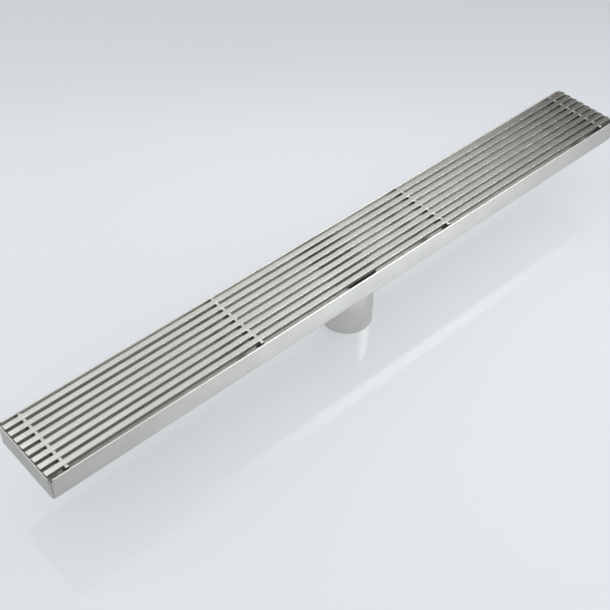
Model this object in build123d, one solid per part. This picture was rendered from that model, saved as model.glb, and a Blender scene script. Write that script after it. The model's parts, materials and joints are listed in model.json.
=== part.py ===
from build123d import *
import math
import os

# Linear floor drain: a folded stainless channel with a round outlet, a lift-out bar grate, and a
# drop-in odour trap with its own hair strainer. Millimetres, +Z up, +X along the channel.
# The origin is the centre of the outlet pipe's lower end, which is the foot the drain stands on.

# ---- driving dimensions -----------------------------------------------------------------------
LENGTH = 616.0            # channel, outside
WIDTH = 66.8              # channel, outside
DEPTH = 21.0              # channel, rim to underside
SHEET = 1.2               # folded stainless sheet
TOP = 76.0                # bar tops above the pipe's lower end
PROUD = 1.4               # bar tops above the channel's rim
CORNER_R = 2.5            # outside radius of the channel's upright corners
FOLD_R = 2.0              # outside radius of the folds along the floor
RIM_EDGE_R = 0.3
SEAM_GROOVE = 0.25        # depth of the groove left where the end walls are welded on
SEAM_GAP = 0.4            # width of that groove
NOTCH_WIDTH = 1.6         # relief cut at the top of each upright corner
NOTCH_DEPTH = 1.8

BARS = 8
BAR_PITCH = 7.5
BAR_WIDTH = 4.5
BAR_HEIGHT = 3.6
BAR_EDGE_R = 0.25
END_PLAY = 0.25           # between a bar's end and the end wall

CROSS_X = (-291.7, -118.5, 85.3, 290.0)   # cross bars along the channel, unevenly spaced
CROSS_THICK = 2.5
CROSS_DEPTH = 9.4         # bar tops down to the underside of a cross bar
CROSS_DROP = 0.4          # bar tops down to the tips of the teeth between the bars
SIDE_PLAY = 1.0           # between a cross bar's end and the long wall

REST_WIDTH = 12.0         # along the channel
REST_REACH = 6.0          # out from the long wall
REST_HEIGHT = 7.0

PIPE_OD = 45.0
PIPE_WALL = 1.2
WELD_LEG = 2.0
WELD_BEVEL = 0.6          # how far the pipe's upper end is bevelled in for the weld

FLANGE_R = 22.7
FLANGE_THICK = 1.2
FLANGE_PLAY = 0.6         # between the trap's flange and its pressed seat in the floor
SLEEVE_R = 19.5
SLEEVE_BORE_R = 17.8
SEAT_Z = 20.0             # lower rim of the sleeve, where the valve closes
SEAL_GAP = 0.3            # between the seal's lips and the pipe

STRAINER_R = 18.7
STRAINER_THICK = 2.0
BRIDGE_Z = 36.0           # underside of the stem guide
BRIDGE_THICK = 3.0
STEM_R = 2.0
STEM_PLAY = 0.08
SPRING_LENGTH = 11.0
SPRING_COIL_R = 4.0
SPRING_WIRE_R = 0.4
SPRING_COILS = 5
CAP_THICK = 2.0
DISC_R = 19.2
DISC_THICK = 2.0
GASKET_THICK = 1.0

# ---- worked out from them ---------------------------------------------------------------------
RIM_Z = TOP - PROUD
UNDER_Z = RIM_Z - DEPTH
FLOOR_Z = UNDER_Z + SHEET
INNER_Y = WIDTH / 2 - SHEET
BORE_R = PIPE_OD / 2 - PIPE_WALL
SEAM_X = LENGTH / 2 - SHEET
BAR_LENGTH = LENGTH - 2 * (SHEET + END_PLAY)
CROSS_Z = TOP - CROSS_DEPTH
SEAT_R = FLANGE_R + FLANGE_PLAY
FLANGE_Z = FLOOR_Z - FLANGE_THICK
PIPE_Z = FLANGE_Z - SHEET
LEDGE_Z = FLOOR_Z - STRAINER_THICK
BRIDGE_TOP = BRIDGE_Z + BRIDGE_THICK
SPRING_TOP = BRIDGE_TOP + SPRING_LENGTH


def bar_y(i):
    """Centre line of bar i, counted from the back."""
    return ((BARS + 1) / 2 - i) * BAR_PITCH


def block(x, y, z):
    """A box between two limits on each axis."""
    size = (x[1] - x[0], y[1] - y[0], z[1] - z[0])
    return Pos((x[0] + x[1]) / 2, (y[0] + y[1]) / 2, (z[0] + z[1]) / 2) * Box(*size)


def disc(radius, low, high):
    """An upright cylinder on the outlet's axis."""
    return Pos(0, 0, (low + high) / 2) * Cylinder(radius, high - low)


def turned(points):
    """A ring from its (radius, height) outline, turned about the outlet's axis."""
    outline = Polyline(*[(r, 0, z) for r, z in points], close=True)
    return revolve(make_face(outline), Axis.Z)


# ---- channel ----------------------------------------------------------------------------------
def folded_box(inset, top):
    """A box inside the channel's outline by an inset, with its upright and lower edges rounded."""
    x, y = LENGTH / 2 - inset, WIDTH / 2 - inset
    box = block((-x, x), (-y, y), (UNDER_Z + inset, top))
    box = fillet(box.edges().filter_by(Axis.Z), CORNER_R - inset)
    return fillet(box.faces().sort_by(Axis.Z)[0].edges(), FOLD_R - inset)


def tray_shell():
    """The whole folded tray, with its weld seams, before it is parted into a trough and two end caps."""
    above = RIM_Z + 5
    shell = folded_box(0, RIM_Z) - folded_box(SHEET, above)
    shell = fillet(shell.edges().group_by(Axis.Z)[-1], RIM_EDGE_R)
    for side in (-1, 1):
        seam = side * SEAM_X
        slab = block((seam - SEAM_GAP / 2, seam + SEAM_GAP / 2), (-WIDTH, WIDTH), (UNDER_Z - 1, above))
        shell -= slab - folded_box(SEAM_GROOVE, above)
        shell -= block(
            (seam - NOTCH_WIDTH / 2, seam + NOTCH_WIDTH / 2),
            (-WIDTH, WIDTH),
            (RIM_Z - NOTCH_DEPTH, above),
        ) - block((-LENGTH, LENGTH), (SHEET - INNER_Y, INNER_Y - SHEET), (0, above))
    return shell


def channel_trough(shell):
    """Long walls and floor, pressed down round the outlet to seat the trap's flange."""
    middle = block((-SEAM_X, SEAM_X), (-WIDTH, WIDTH), (UNDER_Z - 1, RIM_Z + 1))
    trough = (shell & middle) + disc(SEAT_R + SHEET, PIPE_Z, UNDER_Z + SHEET / 2)
    return trough - disc(SEAT_R, FLANGE_Z, FLOOR_Z + 1) - disc(BORE_R, PIPE_Z - 1, FLOOR_Z + 1)


def end_cap(shell, side):
    """End wall with its rounded upright corners, welded to the trough at the seam."""
    span = sorted((side * SEAM_X, side * LENGTH))
    return shell & block(span, (-WIDTH, WIDTH), (UNDER_Z - 1, RIM_Z + 1))


def outlet_pipe():
    """Spigot welded under the pressed seat, its upper end bevelled for the weld and its foot deburred."""
    r = PIPE_OD / 2
    return turned([
        (BORE_R, 0), (r - 0.3, 0), (r, 0.3), (r, PIPE_Z - WELD_LEG), (r - WELD_BEVEL, PIPE_Z),
        (BORE_R, PIPE_Z),
    ])


def outlet_weld():
    """Weld that fills the bevel between the pipe and the pressed seat."""
    r = PIPE_OD / 2
    return turned([(r - WELD_BEVEL, PIPE_Z), (r + WELD_LEG, PIPE_Z), (r, PIPE_Z - WELD_LEG)])


def grate_rest(x, side):
    """Bent tab on a long wall: one leg welded to the wall, one under a cross bar's end."""
    wall = INNER_Y
    profile = Polyline(
        (wall, CROSS_Z),
        (wall - REST_REACH, CROSS_Z),
        (wall - REST_REACH, CROSS_Z - SHEET),
        (wall - SHEET, CROSS_Z - SHEET),
        (wall - SHEET, CROSS_Z - REST_HEIGHT),
        (wall, CROSS_Z - REST_HEIGHT),
        close=True,
    )
    tab = extrude(Plane.YZ * make_face(profile), REST_WIDTH / 2, both=True)
    return Pos(x, 0, 0) * (tab if side > 0 else mirror(tab, Plane.XZ))


# ---- grate ------------------------------------------------------------------------------------
def grate_bar(i):
    """Flat bar along the channel, its four long edges and its ends broken."""
    y = bar_y(i)
    bar = block(
        (-BAR_LENGTH / 2, BAR_LENGTH / 2),
        (y - BAR_WIDTH / 2, y + BAR_WIDTH / 2),
        (TOP - BAR_HEIGHT, TOP),
    )
    return fillet(bar.edges().filter_by(Axis.X), BAR_EDGE_R)


def cross_bar(x):
    """Flat on edge across the channel, slotted from above for the bars that are welded into it."""
    half = INNER_Y - SIDE_PLAY
    plate = block(
        (x - CROSS_THICK / 2, x + CROSS_THICK / 2),
        (-half, half),
        (CROSS_Z, TOP - CROSS_DROP),
    )
    plate = fillet(plate.edges().filter_by(Axis.X), 0.8)
    for i in range(1, BARS + 1):
        y = bar_y(i)
        plate -= block(
            (x - CROSS_THICK, x + CROSS_THICK),
            (y - BAR_WIDTH / 2, y + BAR_WIDTH / 2),
            (TOP - BAR_HEIGHT, TOP + 1),
        )
    return plate


# ---- odour trap -------------------------------------------------------------------------------
def trap_sleeve():
    """Moulded sleeve that hangs in the pipe by its flange; its lower rim is the valve's seat."""
    neck_r = BORE_R - 0.7
    mouth_r = STRAINER_R + 0.3
    return turned([
        (SLEEVE_BORE_R, SEAT_Z),
        (SLEEVE_BORE_R + 0.8, SEAT_Z),
        (SLEEVE_R, SEAT_Z + 1.2),
        (SLEEVE_R, LEDGE_Z - 3.0),
        (neck_r, LEDGE_Z - 2.0),
        (neck_r, FLANGE_Z),
        (FLANGE_R, FLANGE_Z),
        (FLANGE_R, FLOOR_Z - 0.5),
        (FLANGE_R - 0.7, FLOOR_Z),
        (mouth_r, FLOOR_Z),
        (mouth_r, LEDGE_Z),
        (SLEEVE_BORE_R, LEDGE_Z),
    ])


def trap_seal():
    """Rubber ring round the sleeve, with lips that close the gap to the pipe."""
    lip_r = BORE_R - SEAL_GAP
    root_r = SLEEVE_R + 0.5
    low = LEDGE_Z - 13.0
    lips = 3
    step = 3.0
    points = [(SLEEVE_R, low), (root_r, low)]
    for k in range(lips):
        z = low + k * step
        points += [(root_r, z + 0.6), (lip_r, z + 1.8), (lip_r, z + 2.3), (root_r, z + 2.3)]
    points += [(root_r, low + lips * step), (SLEEVE_R, low + lips * step)]
    return turned(points)


def stem_guide():
    """Three-armed bridge across the sleeve that the valve's stem slides in."""
    arms = 3
    hub_r = 4.8
    ring = disc(SLEEVE_BORE_R, BRIDGE_Z, BRIDGE_TOP) - disc(SLEEVE_BORE_R - 1.4, BRIDGE_Z, BRIDGE_TOP)
    guide = ring + disc(hub_r, BRIDGE_Z - 2.0, BRIDGE_TOP)
    for k in range(arms):
        arm = block((hub_r - 1, SLEEVE_BORE_R - 0.7), (-1.0, 1.0), (BRIDGE_Z, BRIDGE_TOP))
        guide += Rot(0, 0, 360 * k / arms) * arm
    return guide - disc(STEM_R + STEM_PLAY, BRIDGE_Z - 5, BRIDGE_TOP + 1)


def hair_strainer():
    """Slotted disc in the sleeve's mouth, with a finger pull in the middle."""
    spokes = 12
    rims = ((STRAINER_R - 2.0, STRAINER_R), (10.4, 11.8), (0.0, 4.6))
    low, high = LEDGE_Z, LEDGE_Z + STRAINER_THICK
    grid = disc(rims[2][1], low, high)
    for inner, outer in rims[:2]:
        grid += disc(outer, low, high) - disc(inner, low, high)
    for k in range(spokes):
        spoke = block((rims[2][1] - 0.6, STRAINER_R - 1.0), (-0.7, 0.7), (low, high))
        grid += Rot(0, 0, 360 * k / spokes) * spoke
    pull = turned([(0, high), (1.6, high), (1.6, high + 1.6), (3.2, high + 2.2), (3.2, high + 3.2),
                   (0, high + 3.2)])
    return grid + pull


def valve_stem():
    """Rod that carries the valve's disc and, at its top, the spring's cap."""
    rod = disc(STEM_R, SEAT_Z - GASKET_THICK - DISC_THICK - 1.5, SPRING_TOP + CAP_THICK + 0.5)
    return chamfer(rod.edges(), 0.3)


def valve_disc():
    """Disc that closes the sleeve from below, with a boss round the stem."""
    high = SEAT_Z - GASKET_THICK
    low = high - DISC_THICK
    return turned([
        (STEM_R, low - 1.0), (5.0, low - 1.0), (6.0, low), (DISC_R - 0.6, low), (DISC_R, low + 0.6),
        (DISC_R, high), (SLEEVE_BORE_R - 1.6, high), (SLEEVE_BORE_R - 1.6, high + 0.6), (6.0, high + 0.6),
        (5.0, high + 3.0), (STEM_R, high + 3.0),
    ])


def valve_gasket():
    """Soft washer between the disc and the seat."""
    low, high = SEAT_Z - GASKET_THICK, SEAT_Z
    return disc(DISC_R - 0.2, low, high) - disc(SLEEVE_BORE_R - 1.6, low, high)


def return_spring():
    """Compression spring between the stem guide and the cap."""
    height = SPRING_LENGTH - 2 * SPRING_WIRE_R
    path = Helix(height / SPRING_COILS, height, SPRING_COIL_R)
    wire = sweep(Plane(path @ 0, z_dir=path % 0) * Circle(SPRING_WIRE_R), path, is_frenet=True)
    return Pos(0, 0, BRIDGE_TOP + SPRING_WIRE_R) * wire


def spring_cap():
    """Cap pressed on the stem that holds the spring down."""
    return turned([
        (STEM_R, SPRING_TOP), (5.2, SPRING_TOP), (5.2, SPRING_TOP + 1.2), (4.0, SPRING_TOP + CAP_THICK),
        (STEM_R, SPRING_TOP + CAP_THICK),
    ])


# ---- every piece, by name ---------------------------------------------------------------------
def pieces():
    shell = tray_shell()
    named = {
        "channel_trough": channel_trough(shell),
        "end_cap_left": end_cap(shell, -1),
        "end_cap_right": end_cap(shell, 1),
        "outlet_pipe": outlet_pipe(),
        "outlet_weld": outlet_weld(),
        "trap_sleeve": trap_sleeve(),
        "trap_seal": trap_seal(),
        "stem_guide": stem_guide(),
        "hair_strainer": hair_strainer(),
        "valve_stem": valve_stem(),
        "valve_disc": valve_disc(),
        "valve_gasket": valve_gasket(),
        "return_spring": return_spring(),
        "spring_cap": spring_cap(),
    }
    for k, x in enumerate(CROSS_X, start=1):
        named[f"cross_bar_{k}"] = cross_bar(x)
        named[f"grate_rest_front_{k}"] = grate_rest(x, -1)
        named[f"grate_rest_back_{k}"] = grate_rest(x, 1)
    for i in range(1, BARS + 1):
        named[f"grate_bar_{i}"] = grate_bar(i)
    return named


os.makedirs("parts", exist_ok=True)
for name, solid in pieces().items():
    export_step(solid, f"parts/{name}.step")
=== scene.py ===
import bpy
import json
import math
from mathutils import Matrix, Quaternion, Vector

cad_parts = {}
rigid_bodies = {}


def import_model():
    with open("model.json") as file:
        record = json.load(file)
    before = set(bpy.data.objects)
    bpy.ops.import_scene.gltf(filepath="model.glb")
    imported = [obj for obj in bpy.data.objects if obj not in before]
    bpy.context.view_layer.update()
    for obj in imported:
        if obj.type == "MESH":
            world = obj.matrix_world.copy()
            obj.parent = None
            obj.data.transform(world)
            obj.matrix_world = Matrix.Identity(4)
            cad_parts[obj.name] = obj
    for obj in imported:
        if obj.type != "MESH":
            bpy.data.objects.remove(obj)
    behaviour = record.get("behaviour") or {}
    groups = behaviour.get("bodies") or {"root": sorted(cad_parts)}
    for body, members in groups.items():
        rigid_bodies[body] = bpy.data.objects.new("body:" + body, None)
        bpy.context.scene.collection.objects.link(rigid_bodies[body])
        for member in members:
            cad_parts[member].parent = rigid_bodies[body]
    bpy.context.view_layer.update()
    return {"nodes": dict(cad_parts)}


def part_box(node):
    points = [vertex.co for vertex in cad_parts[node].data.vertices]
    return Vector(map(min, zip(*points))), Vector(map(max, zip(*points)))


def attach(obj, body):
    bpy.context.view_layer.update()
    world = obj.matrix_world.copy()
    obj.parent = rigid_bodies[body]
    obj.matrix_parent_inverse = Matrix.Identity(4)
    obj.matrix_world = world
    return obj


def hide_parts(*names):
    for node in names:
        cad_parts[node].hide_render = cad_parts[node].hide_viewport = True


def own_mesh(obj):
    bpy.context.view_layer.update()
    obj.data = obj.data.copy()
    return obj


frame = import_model()

MM = 0.001
BARS = [f"grate_bar_{i}" for i in range(1, 9)]
CROSS_BARS = [f"cross_bar_{k}" for k in range(1, 5)]
RESTS = [f"grate_rest_{side}_{k}" for side in ("front", "back") for k in range(1, 5)]


# ---- node helpers -----------------------------------------------------------------------------
def new_material(name):
    """A node material, its tree and its Principled shader."""
    material = bpy.data.materials.new(name)
    material.use_nodes = True
    tree = material.node_tree
    return material, tree, tree.nodes["Principled BSDF"]


def feed(tree, socket, value):
    """Links a socket to another, or sets it to a number or a colour."""
    if isinstance(value, bpy.types.NodeSocket):
        tree.links.new(value, socket)
    elif isinstance(value, tuple) and len(value) == 3 and len(socket.default_value) == 4:
        socket.default_value = (*value, 1)
    else:
        socket.default_value = value


def node(tree, kind, **values):
    """A node with its named properties and inputs set."""
    made = tree.nodes.new(kind)
    for key, value in values.items():
        if hasattr(made, key):
            setattr(made, key, value)
        else:
            feed(tree, made.inputs[key.replace("_", " ")], value)
    return made


def maths(tree, operation, *values):
    """The result of one sum on sockets or numbers."""
    made = node(tree, "ShaderNodeMath", operation=operation)
    for socket, value in zip(made.inputs, values):
        feed(tree, socket, value)
    return made.outputs[0]


def magnitude(tree, value):
    return maths(tree, "ABSOLUTE", value)


def remap(tree, value, low, high, to_low=0.0, to_high=1.0):
    """A straight ramp, held level beyond both ends."""
    made = node(tree, "ShaderNodeMapRange", Value=value)
    ends = (("From Min", low), ("From Max", high), ("To Min", to_low), ("To Max", to_high))
    for name, number in ends:
        made.inputs[name].default_value = number
    return made.outputs["Result"]


def blend(tree, factor, first, second, kind="RGBA"):
    """From first to second as the factor goes from 0 to 1."""
    made = node(tree, "ShaderNodeMix", data_type=kind)
    for name, value in (("Factor", factor), ("A", first), ("B", second)):
        feed(tree, made.inputs[name], value)
    return made.outputs["Result"]


def position(tree):
    """Where a point is on the part at rest, in metres: the vector and its three numbers."""
    coords = node(tree, "ShaderNodeTexCoord").outputs["Object"]
    parts = node(tree, "ShaderNodeSeparateXYZ", Vector=coords)
    return coords, parts.outputs["X"], parts.outputs["Y"], parts.outputs["Z"]


def grain(tree, size_mm, detail=2.0, roughness=0.55):
    """Noise from 0 to 1 with a size in millimetres along each axis."""
    mapping = node(tree, "ShaderNodeMapping", Scale=tuple(1.0 / (s * MM) for s in size_mm))
    tree.links.new(position(tree)[0], mapping.inputs["Vector"])
    noise = node(tree, "ShaderNodeTexNoise", Scale=1.0, Detail=detail, Roughness=roughness)
    tree.links.new(mapping.outputs["Vector"], noise.inputs["Vector"])
    return noise.outputs["Fac"]


def drawn_out(along, across_mm, along_mm):
    """Sizes for grain() that is stretched along one axis."""
    return [along_mm if axis == along else across_mm for axis in "XYZ"]


# ---- steel ------------------------------------------------------------------------------------
SEAM_X = 306.8 * MM          # end walls meet the trough here
CORNER = (SEAM_X, 33.4 * MM, 74.6 * MM)
WELD_RING = 24.0 * MM        # radius of the weld round the outlet
SEAM_SHADE = 0.4
NOTCH_SHADE = 0.8
WELD_STRAW = (0.50, 0.38, 0.20)
WELD_BLUE = (0.20, 0.22, 0.32)
MILL_FINISH = (0.66, 0.655, 0.64)
INNER_FINISH = (0.80, 0.795, 0.77)
# Brighter rim top: partly a polished edge, partly painted highlight.
RIM_POLISH_AND_HIGHLIGHT = (0.82, 0.815, 0.80)
# Brighter bar ends: partly dressed on a wheel, partly painted highlight.
GROUND_END_HIGHLIGHT = (0.86, 0.855, 0.83)
# Near black for the painted shade in the seams and corner reliefs.
PAINTED_SHADE_DARK = (0.03, 0.028, 0.025)
BAR_SIDES = (0.63, 0.625, 0.60)
# Near black lower faces of the cross bars: painted shade in the gaps beside them.
CROSS_SIDES_PAINTED_SHADE = (0.25, 0.245, 0.235)
BROAD_MM = (3.0, 120.0)      # width and length of the broad streaks
PATCH_MM = 26.0
NOISE_ENDS = (0.36, 0.64)    # noise at or beyond these counts as all dark or all light
SCRATCH_MM = (0.35, 45.0)    # width and length of the scratches
SCRATCH_EDGE = (0.73, 0.76)  # noise where a scratch begins and where it is at its full depth
SCRATCHED = (0.5, 0.55)      # patches below the first have no scratches, above the second all
RIM_Z = (74.25 * MM, 74.4 * MM)
# Span and strength of the brighter bar ends, partly painted highlight.
HIGHLIT_END_X = (297.0 * MM, 303.0 * MM)
END_HIGHLIGHT_SHARE = 0.4
INNER_ROUGH = (0.42, 0.52)
SIDE_ROUGH = (0.36, 0.44)
# Roughness of the painted seam shade.
PAINTED_SHADE_ROUGH = 0.7


def inside_channel(tree):
    """1 on the faces inside the channel, which keep the mill's dull finish."""
    _, x, y, z = position(tree)
    lengthwise = remap(tree, magnitude(tree, x), 307.1 * MM, 307.5 * MM, 1.0, 0.0)
    crosswise = remap(tree, magnitude(tree, y), 32.6 * MM, 33.0 * MM, 1.0, 0.0)
    above_underside = remap(tree, z, 54.0 * MM, 54.4 * MM)
    under_rim = remap(tree, z, 73.6 * MM, 74.2 * MM, 1.0, 0.0)
    level = maths(tree, "MULTIPLY", lengthwise, crosswise)
    upright = maths(tree, "MULTIPLY", above_underside, under_rim)
    return maths(tree, "MULTIPLY", level, upright)


def below(tree, height_mm):
    """1 on everything a little below a height, 0 above it."""
    return remap(tree, position(tree)[3], (height_mm - 0.2) * MM, height_mm * MM, 1.0, 0.0)


def seam_painted_shade(tree):
    """Painted shade in the welded seams of the end walls, darker in the relief at the top of each
    corner.
    """
    coords, x, y, _ = position(tree)
    off_seam = maths(tree, "SUBTRACT", magnitude(tree, x), SEAM_X)
    line = remap(tree, magnitude(tree, off_seam), 0.15 * MM, 0.4 * MM, SEAM_SHADE, 0.0)
    outer_face = remap(tree, magnitude(tree, y), 32.4 * MM, 32.8 * MM)
    line = maths(tree, "MULTIPLY", line, outer_face)
    folded = node(tree, "ShaderNodeVectorMath", operation="ABSOLUTE")
    tree.links.new(coords, folded.inputs[0])
    reach = node(tree, "ShaderNodeVectorMath", operation="DISTANCE")
    tree.links.new(folded.outputs[0], reach.inputs[0])
    reach.inputs[1].default_value = CORNER
    notch = remap(tree, reach.outputs["Value"], 0.8 * MM, 2.8 * MM, NOTCH_SHADE, 0.0)
    return maths(tree, "MAXIMUM", line, notch)


def heat_tint(tree, colour, amount):
    """Straw, then blue, in the steel beside a weld; amount is 1 at the weld and 0 away from it."""
    straw = blend(tree, remap(tree, amount, 0.05, 0.5, 0.0, 0.55), colour, WELD_STRAW)
    return blend(tree, remap(tree, amount, 0.55, 0.95, 0.0, 0.5), straw, WELD_BLUE)


def steel(name, along, light, dark, rough, anisotropy, streak=(0.8, 9.0), bump=0.2, mottle=0.5,
          nicked=0.15, channel=False, tint=None, sides=None, ground_and_highlit_ends=False):
    """Stainless with its belt grain along one axis: tone, gloss and height vary with the same grain.

    streak is the grain's size in millimetres across and along. mottle is the share of the tone that
    comes from soft patches instead of the grain. nicked is how much fine scratches show. channel
    adds the dull inner faces, the rims made brighter, partly for their polished top edge and partly
    as painted highlight, and painted shade in the seams. tint(tree) gives the heat of a weld from 0
    to 1. sides is the height in millimetres that the unbrushed faces lie below, with their colour.
    ground_and_highlit_ends makes the last few millimetres at each end brighter, partly where they
    were dressed on a wheel and partly as a painted highlight where the cut ends catch the light.
    """
    material, tree, shader = new_material(name)
    fine = grain(tree, drawn_out(along, *streak), detail=3.0, roughness=0.65)
    broad = grain(tree, drawn_out(along, *BROAD_MM))
    patches = grain(tree, (PATCH_MM,) * 3, detail=3.0)
    lines = maths(tree, "MULTIPLY", maths(tree, "ADD", fine, broad), 0.5)
    tone = blend(tree, mottle, lines, patches, "FLOAT")
    colour = blend(tree, remap(tree, tone, *NOISE_ENDS), dark, light)
    gloss = remap(tree, lines, *NOISE_ENDS, rough[1], rough[0])
    nick = remap(tree, grain(tree, drawn_out(along, *SCRATCH_MM), detail=0.0), *SCRATCH_EDGE)
    nicks = maths(tree, "MULTIPLY", nick, remap(tree, patches, *SCRATCHED))
    gloss = maths(tree, "ADD", gloss, maths(tree, "MULTIPLY", nicks, nicked))
    if channel:
        inner = inside_channel(tree)
        colour = blend(tree, inner, colour, INNER_FINISH)
        # The rims' top edge brighter: partly polish, partly painted highlight.
        rim = remap(tree, position(tree)[3], *RIM_Z)
        colour = blend(tree, rim, colour, RIM_POLISH_AND_HIGHLIGHT)
        gloss = blend(tree, inner, gloss, remap(tree, patches, 0.3, 0.7, *INNER_ROUGH), "FLOAT")
    # Bar ends brighter: painted highlight where the cut ends catch the light, over dressing on a wheel.
    if ground_and_highlit_ends:
        off_middle = magnitude(tree, position(tree)[1])
        ends = remap(tree, off_middle, *HIGHLIT_END_X, 0.0, END_HIGHLIGHT_SHARE)
        colour = blend(tree, ends, colour, GROUND_END_HIGHLIGHT)
    if sides:
        cut = below(tree, sides[0])
        duller = tuple(c * 0.9 for c in sides[1])
        colour = blend(tree, cut, colour, blend(tree, patches, duller, sides[1]))
        gloss = blend(tree, cut, gloss, remap(tree, fine, 0.3, 0.7, *SIDE_ROUGH), "FLOAT")
    if tint:
        colour = heat_tint(tree, colour, tint(tree))
    if channel:
        # Painted shade in the seams and corner reliefs: darker and duller.
        painted_seam_shade = seam_painted_shade(tree)
        colour = blend(tree, painted_seam_shade, colour, PAINTED_SHADE_DARK)
        gloss = blend(tree, painted_seam_shade, gloss, PAINTED_SHADE_ROUGH, "FLOAT")
    tree.links.new(colour, shader.inputs["Base Color"])
    tree.links.new(gloss, shader.inputs["Roughness"])
    relief = maths(tree, "SUBTRACT", fine, maths(tree, "MULTIPLY", nicks, 3 * nicked))
    height = node(tree, "ShaderNodeBump", Strength=bump, Distance=0.05 * MM, Height=relief)
    tree.links.new(height.outputs["Normal"], shader.inputs["Normal"])
    tangent = node(tree, "ShaderNodeTangent", direction_type="RADIAL", axis=along)
    tree.links.new(tangent.outputs["Tangent"], shader.inputs["Tangent"])
    shader.inputs["Metallic"].default_value = 1.0
    shader.inputs["Anisotropic"].default_value = anisotropy
    return material


def outlet_heat(tree):
    """Warmest at the ring where the pipe is welded on, on the underside of the trough only."""
    _, x, y, z = position(tree)
    squares = maths(tree, "ADD", maths(tree, "MULTIPLY", x, x), maths(tree, "MULTIPLY", y, y))
    off_weld = maths(tree, "SUBTRACT", maths(tree, "SQRT", squares), WELD_RING)
    ring = remap(tree, magnitude(tree, off_weld), 0.0, 7.0 * MM, 1.0, 0.0)
    return maths(tree, "MULTIPLY", ring, remap(tree, z, 53.7 * MM, 54.0 * MM, 1.0, 0.0))


def pipe_heat(tree):
    """Warmest at the top of the pipe, next to the weld."""
    return remap(tree, position(tree)[3], 44.0 * MM, 50.4 * MM)


# ---- plastic and rubber -----------------------------------------------------------------------
LIME = (0.16, 0.16, 0.155)


def moulded(name, colour, rough, grain_mm, bump):
    """Moulded plastic or rubber: a pebbled skin, flow marks and a little lime from the water."""
    material, tree, shader = new_material(name)
    skin = grain(tree, (grain_mm,) * 3)
    flow = grain(tree, (9.0, 9.0, 22.0), detail=1.0)
    lime = remap(tree, grain(tree, (5.0, 5.0, 5.0), detail=5.0), 0.56, 0.72, 0.0, 0.35)
    shade = blend(tree, flow, tuple(c * 0.75 for c in colour), colour)
    tree.links.new(blend(tree, lime, shade, LIME), shader.inputs["Base Color"])
    gloss = remap(tree, skin, 0.3, 0.7, rough - 0.08, rough + 0.08)
    gloss = maths(tree, "ADD", gloss, maths(tree, "MULTIPLY", lime, 0.4))
    tree.links.new(gloss, shader.inputs["Roughness"])
    height = node(tree, "ShaderNodeBump", Strength=bump, Distance=0.1 * MM, Height=skin)
    tree.links.new(height.outputs["Normal"], shader.inputs["Normal"])
    return material


def dress(names, material):
    """Gives CAD nodes a material in every slot."""
    for name in names:
        for slot in frame["nodes"][name].material_slots:
            slot.material = material


BAR_LIGHT = (0.70, 0.695, 0.67)
BAR_DARK = (0.62, 0.615, 0.595)
WALL_LIGHT = (0.505, 0.50, 0.472)
WALL_DARK = (0.46, 0.455, 0.43)
PIPE_LIGHT = (0.66, 0.655, 0.62)
PIPE_DARK = (0.60, 0.595, 0.565)
WELD_LIGHT = (0.62, 0.60, 0.56)
WELD_DARK = (0.42, 0.38, 0.32)
# The bars' ends are drawn brighter, partly as painted highlight.
bar_steel = steel(
    "bar_steel", "X", BAR_LIGHT, BAR_DARK, (0.15, 0.23), 0.6,
    streak=(0.7, 5.0), bump=0.07, sides=(75.95, BAR_SIDES), ground_and_highlit_ends=True,
)
# The cross bars' faces below their tops take the near-black side colour: painted shade in the gaps.
cross_steel = steel(
    "cross_bar_steel", "Y", BAR_LIGHT, BAR_DARK, (0.2, 0.3), 0.6, sides=(75.4, CROSS_SIDES_PAINTED_SHADE),
)
wall_steel = steel(
    "channel_steel", "X", WALL_LIGHT, WALL_DARK, (0.26, 0.34), 0.75,
    bump=0.05, mottle=0.85, nicked=0.04, channel=True, tint=outlet_heat,
)
end_steel = steel(
    "end_wall_steel", "Y", WALL_LIGHT, WALL_DARK, (0.26, 0.34), 0.75,
    bump=0.05, mottle=0.85, nicked=0.04, channel=True,
)
rest_steel = steel("rest_steel", "X", MILL_FINISH, WALL_LIGHT, (0.4, 0.5), 0.3)
pipe_steel = steel(
    "pipe_steel", "Z", PIPE_LIGHT, PIPE_DARK, (0.3, 0.4), 0.2,
    bump=0.05, mottle=0.9, nicked=0.04, tint=pipe_heat,
)
stem_steel = steel("stem_steel", "Z", BAR_LIGHT, BAR_DARK, (0.18, 0.28), 0.1, streak=(0.3, 0.3))
weld_steel = steel(
    "weld_metal", "Z", WELD_LIGHT, WELD_DARK, (0.22, 0.4), 0.0, streak=(0.5, 0.5), mottle=0.3,
)
trap_plastic = moulded("trap_plastic", (0.022, 0.022, 0.024), 0.46, 0.5, 0.2)
seal_rubber = moulded("seal_rubber", (0.03, 0.03, 0.03), 0.68, 0.3, 0.3)

dress(BARS, bar_steel)
dress(CROSS_BARS, cross_steel)
dress(["channel_trough"], wall_steel)
dress(RESTS, rest_steel)
dress(["end_cap_left", "end_cap_right"], end_steel)
dress(["outlet_pipe"], pipe_steel)
dress(["valve_stem"], stem_steel)
dress(["trap_sleeve", "stem_guide", "hair_strainer", "valve_disc", "spring_cap"], trap_plastic)
dress(["trap_seal", "valve_gasket"], seal_rubber)


# ---- pieces made here -------------------------------------------------------------------------
def add_mesh(name, points, faces, material, body, slot):
    """A smooth-shaded mesh from points in millimetres, on a body of the frame."""
    mesh = bpy.data.meshes.new(name)
    mesh.from_pydata([tuple(c * MM for c in p) for p in points], [], faces)
    mesh.validate()
    mesh.shade_smooth()
    mesh.materials.append(material)
    made = bpy.data.objects.new(name, mesh)
    bpy.context.scene.collection.objects.link(made)
    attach(made, body)
    return made


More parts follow.
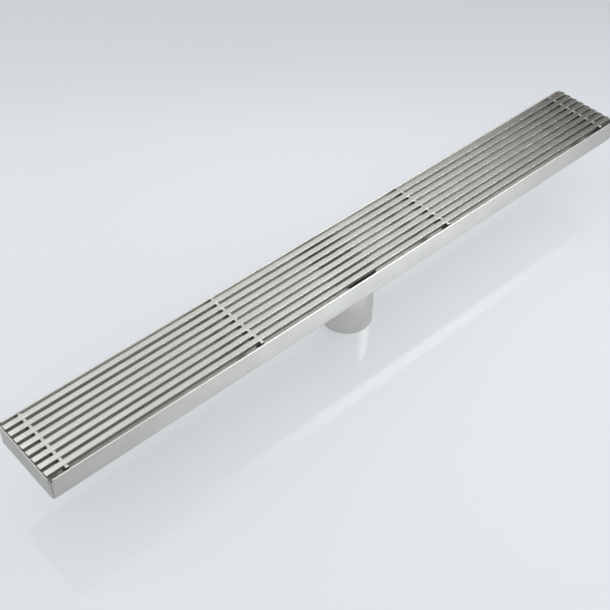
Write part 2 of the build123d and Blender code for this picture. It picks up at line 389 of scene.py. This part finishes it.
def tube_faces(rings, sides, closed):
    """Quads that join rings of points one after another, and caps unless the tube closes on itself."""
    faces = []
    for i in range(rings if closed else rings - 1):
        for j in range(sides):
            here, there, turn = i * sides, (i + 1) % rings * sides, (j + 1) % sides
            faces.append((here + j, here + turn, there + turn, there + j))
    if not closed:
        last = (rings - 1) * sides
        faces += [tuple(reversed(range(sides))), tuple(range(last, last + sides))]
    return faces


def spring():
    """Compression spring with closed end coils."""
    low, length, coil_r, wire_r = 39.0, 11.0, 4.0, 0.4
    turns, dead, dead_pitch, steps, sides = 6.0, 0.75, 0.82, 32, 10
    climb = length - 2 * wire_r - 2 * dead * dead_pitch
    pitch = climb / (turns - 2 * dead)
    rings = int(turns * steps) + 1
    points = []
    for i in range(rings):
        t = i / steps
        z = low + wire_r + dead_pitch * (min(t, dead) + max(t - turns + dead, 0.0))
        z += pitch * (min(max(t, dead), turns - dead) - dead)
        angle = 2 * math.pi * t
        out, up = Vector((math.cos(angle), math.sin(angle), 0)), Vector((0, 0, 1))
        for j in range(sides):
            a = 2 * math.pi * j / sides
            points.append(out * (coil_r + wire_r * math.cos(a)) + up * (z + wire_r * math.sin(a)))
    return points, tube_faces(rings, sides, closed=False)


def outlet_bead():
    """Fillet weld round the pipe, laid in overlapping ripples."""
    pipe_r, top, leg, ripples, steps, across = 22.5, 52.4, 2.0, 64, 8, 9
    rings = ripples * steps
    points = []
    for i in range(rings):
        angle = 2 * math.pi * i / rings
        wander = 0.12 * math.sin(5 * angle) + 0.07 * math.sin(13 * angle + 1)
        outline = [(pipe_r - 0.6, top)]
        for j in range(across):
            t = j / (across - 1)
            crown = math.sin(math.pi * t)
            phase = i / steps + 0.9 * crown
            swell = crown * (0.28 + 0.13 * math.sin(2 * math.pi * phase))
            reach = leg + wander
            outline.append((pipe_r + reach * (1 - t) + swell * 0.7, top - reach * t - swell * 0.7))
        points += [(r * math.cos(angle), r * math.sin(angle), z) for r, z in outline]
    return points, tube_faces(rings, across + 1, closed=True)


def blob(centre, size, seed):
    """A drop of weld metal: a rounded lump with a ripple across its length."""
    rings, sides = 9, 10
    points = []
    for i in range(rings):
        a = math.pi * (i + 0.5) / rings
        swell = math.sin(a) * (1 + 0.12 * math.sin(7 * a + seed))
        for j in range(sides):
            b = 2 * math.pi * j / sides
            points.append((
                centre[0] + size[0] * swell * math.cos(b),
                centre[1] - size[1] * math.cos(a),
                centre[2] + size[2] * swell * math.sin(b),
            ))
    return points, tube_faces(rings, sides, closed=False)


def gather(meshes):
    """One list of points and faces from several."""
    points, faces = [], []
    for some_points, some_faces in meshes:
        faces += [tuple(i + len(points) for i in face) for face in some_faces]
        points += some_points
    return points, faces


def centre_of(name):
    low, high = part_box(name)
    return (low + high) / (2 * MM)


TACK_SIZE = (0.9, 1.5, 0.8)
SPOT_OUTLINE = ((0.01, 0.02), (0.9, 0.02), (1.3, 0.1), (1.6, 0.14), (1.9, 0.06), (2.05, -0.05))
SPOT_X = 3.2                 # from the middle of a rest to each of its spot welds
SPOT_Z = 3.0                 # from the foot of a rest to its spot welds
REST_SHEET = 1.2


def tack_welds():
    """A tack on each side of a cross bar, under each bar."""
    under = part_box(BARS[0])[0].z / MM
    for k, cross in enumerate(CROSS_BARS):
        low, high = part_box(cross)
        for i, bar in enumerate(BARS):
            y = centre_of(bar).y
            for x in (low.x / MM, high.x / MM):
                yield blob((x, y, under), TACK_SIZE, seed=1.7 * i + k)


def spot_weld(centre, inward):
    """A shallow dimple with a raised rim, on a face that looks along Y."""
    sides = 20
    points = []
    for r, out in SPOT_OUTLINE:
        for j in range(sides):
            a = 2 * math.pi * j / sides * inward
            points.append((
                centre[0] + r * math.cos(a),
                centre[1] + inward * out,
                centre[2] + r * math.sin(a),
            ))
    return points, tube_faces(len(SPOT_OUTLINE), sides, closed=False)


def rest_spots():
    """Two spot welds on the upright leg of each rest."""
    for name in RESTS:
        low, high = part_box(name)
        side = 1 if low.y > 0 else -1
        face = (high.y if side > 0 else low.y) / MM - side * REST_SHEET
        z = low.z / MM + SPOT_Z
        for x in (-SPOT_X, SPOT_X):
            yield spot_weld((centre_of(name).x + x, face, z), -side)


coil = add_mesh("return_spring_coil", *spring(), stem_steel, "trap_insert", "stem_steel")
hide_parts("return_spring")
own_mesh(coil)
bead = add_mesh("outlet_weld_bead", *outlet_bead(), weld_steel, "channel", "weld_metal")
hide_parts("outlet_weld")
add_mesh("grate_tack_welds", *gather(tack_welds()), weld_steel, "grate", "weld_metal")
add_mesh("rest_spot_welds", *gather(rest_spots()), rest_steel, "channel", "channel_steel")

# ---- stage ------------------------------------------------------------------------------------
FLOOR_SIZE = 12.0
FLOOR_COLOUR = (0.42, 0.435, 0.45, 1)
FLOOR_LIGHT = (0.93, 0.97, 1.0, 1)
FLOOR_GLOSS = 0.08
FLOOR_GLOW = 0.365
FAR_SHARE = 0.62             # of the glow that is left far behind the drain
LIFT = 0.05                  # extra glow in front of the drain's right half
LIFT_PLACE = (0.16, -0.12, 0)
POOL_GLOW = 0.92
POOL_SLANT = 0.9             # the pool is brightest where X + POOL_SLANT * Y is -POOL_SHIFT
POOL_SHIFT = 0.03


def floor_glow(tree):
    """The floor's own light: dimmer far behind, with a soft lift in front of the drain."""
    coords, x, y, _ = position(tree)
    depth = maths(tree, "ADD", maths(tree, "MULTIPLY", x, 0.67), maths(tree, "MULTIPLY", y, 0.74))
    far = remap(tree, depth, 0.25, 0.60, FLOOR_GLOW, FLOOR_GLOW * FAR_SHARE)
    reach = node(tree, "ShaderNodeVectorMath", operation="DISTANCE")
    tree.links.new(coords, reach.inputs[0])
    reach.inputs[1].default_value = LIFT_PLACE
    lift = remap(tree, reach.outputs["Value"], 0.05, 0.5, LIFT, 0.0)
    return maths(tree, "ADD", far, lift)


def reflected_pool(tree):
    """A pool of light in front of the drain, seen only in the steel's reflections."""
    _, x, y, _ = position(tree)
    slant = maths(tree, "ADD", x, maths(tree, "MULTIPLY", y, POOL_SLANT))
    off_centre = magnitude(tree, maths(tree, "ADD", slant, POOL_SHIFT))
    pool = remap(tree, off_centre, 0.05, 0.42, POOL_GLOW, 0.0)
    pool.node.interpolation_type = "SMOOTHSTEP"
    in_front = remap(tree, y, -0.085, -0.055, 1.0, 0.0)
    pool = maths(tree, "MULTIPLY", pool, in_front)
    reflected = node(tree, "ShaderNodeLightPath").outputs["Is Glossy Ray"]
    return maths(tree, "MULTIPLY", pool, reflected)


def stage_floor():
    """A glossy pale floor that glows a little, so that it looks lit from everywhere."""
    bpy.ops.mesh.primitive_plane_add(size=FLOOR_SIZE)
    made = bpy.context.object
    made.name = "floor"
    material, tree, shader = new_material("floor")
    shader.inputs["Base Color"].default_value = FLOOR_COLOUR
    shader.inputs["Emission Color"].default_value = FLOOR_LIGHT
    shader.inputs["Roughness"].default_value = FLOOR_GLOSS
    glow = maths(tree, "ADD", floor_glow(tree), reflected_pool(tree))
    tree.links.new(glow, shader.inputs["Emission Strength"])
    made.data.materials.append(material)
    return made


floor = stage_floor()

# Brightness of the studio in reflections, by how far to the right (X) a direction points.
STUDIO_ACROSS = (
    (0.0, 0.5), (0.14, 0.7), (0.20, 1.02), (0.28, 0.88), (0.36, 0.80), (0.50, 0.91), (0.56, 0.91),
    (0.63, 0.88), (0.67, 0.72), (0.72, 0.40),
)
# And by how far up (Z) it points, on the far side: the back of the room is dim near the floor.
STUDIO_UP = ((0.30, 0.45), (0.50, 0.12), (0.55, 0.0), (0.60, 0.53), (0.625, 0.84), (0.65, 1.0))
STUDIO_LEVEL = 1.12
FRONT_LEVEL = 0.85
FRONT_LEAST = 0.5            # least level across in the front of the room
STUDIO_TINT = (1.0, 0.99, 0.965)
SOFT_TINT = (0.97, 0.985, 1.0)
SOFT_LEVEL = 0.95


def level_by(tree, value, table):
    """A brightness read from a table of places and levels, straight between them."""
    made = node(tree, "ShaderNodeValToRGB")
    tree.links.new(value, made.inputs["Fac"])
    stops = made.color_ramp.elements
    while len(stops) < len(table):
        stops.new(1.0)
    for stop, (place, level) in zip(stops, table):
        stop.position = place
        stop.color = (level, level, level, 1)
    return made.outputs["Color"]


def studio_world():
    """A pale room: even for diffuse light; in reflections dim far to the right and low at the back."""
    world = bpy.data.worlds.new("studio")
    bpy.context.scene.world = world
    world.use_nodes = True
    tree = world.node_tree
    coords = node(tree, "ShaderNodeTexCoord")
    parts = node(tree, "ShaderNodeSeparateXYZ")
    tree.links.new(coords.outputs["Generated"], parts.inputs["Vector"])
    across = level_by(tree, parts.outputs["X"], STUDIO_ACROSS)
    low = level_by(tree, parts.outputs["Z"], STUDIO_UP)
    front = remap(tree, parts.outputs["Y"], -0.1, 0.1, 1.0, 0.0)
    back = maths(tree, "MULTIPLY", maths(tree, "MULTIPLY", across, low), STUDIO_LEVEL)
    ahead = maths(tree, "MULTIPLY", maths(tree, "MAXIMUM", across, FRONT_LEAST), FRONT_LEVEL)
    level = blend(tree, front, back, ahead, "FLOAT")
    seen = node(tree, "ShaderNodeBackground", Color=STUDIO_TINT)
    tree.links.new(level, seen.inputs["Strength"])
    soft = node(tree, "ShaderNodeBackground", Color=SOFT_TINT, Strength=SOFT_LEVEL)
    path = node(tree, "ShaderNodeLightPath")
    mix = node(tree, "ShaderNodeMixShader")
    tree.links.new(path.outputs["Is Glossy Ray"], mix.inputs["Fac"])
    tree.links.new(soft.outputs["Background"], mix.inputs[1])
    tree.links.new(seen.outputs["Background"], mix.inputs[2])
    tree.links.new(mix.outputs["Shader"], tree.nodes["World Output"].inputs["Surface"])


studio_world()


def soft_box(name, place, target, size, radiance):
    """A rectangular area light aimed at a point, which adds no diffuse light."""
    light = bpy.data.lights.new(name, "AREA")
    light.shape = "RECTANGLE"
    light.size, light.size_y = size
    light.energy = radiance * math.pi * size[0] * size[1]
    lamp = bpy.data.objects.new(name, light)
    bpy.context.scene.collection.objects.link(lamp)
    lamp.location = place
    lamp.rotation_mode = "QUATERNION"
    lamp.rotation_quaternion = (Vector(target) - Vector(place)).to_track_quat("-Z", "Y")
    lamp.visible_diffuse = False
    return lamp


high_front = soft_box(
    "high_front", place=(1.05, -0.85, 1.5), target=(0.0, 0, 0.05), size=(1.2, 0.6), radiance=7,
)
# The floor is glossy enough to show the lamp as a white patch, so the lamp lights the drain only.
lit = bpy.data.collections.new("lit_by_high_front")
for piece in bpy.context.scene.objects:
    if piece.type == "MESH" and piece != floor:
        lit.objects.link(piece)
high_front.light_linking.receiver_collection = lit

# ---- camera -----------------------------------------------------------------------------------
AZIMUTH = -42.2
ELEVATION = 45.44
ROLL = 0.58
CAMERA_PLACE = (-0.4764, -0.4727, 0.6923)
SENSOR_MM = 36.0
LENS_MM = 65.93
azimuth, elevation = math.radians(AZIMUTH), math.radians(ELEVATION)
away = Vector((
    -math.sin(azimuth) * math.cos(elevation),
    math.cos(azimuth) * math.cos(elevation),
    -math.sin(elevation),
))
camera = bpy.data.objects.new("camera", bpy.data.cameras.new("camera"))
bpy.context.scene.collection.objects.link(camera)
camera.data.sensor_width = SENSOR_MM
camera.data.lens = LENS_MM
camera.data.clip_start = 0.01
camera.location = CAMERA_PLACE
camera.rotation_mode = "QUATERNION"
aimed = away.to_track_quat("-Z", "Y")
camera.rotation_quaternion = aimed @ Quaternion((0, 0, 1), math.radians(ROLL))
bpy.context.scene.camera = camera
bpy.context.scene.view_settings.view_transform = "Standard"
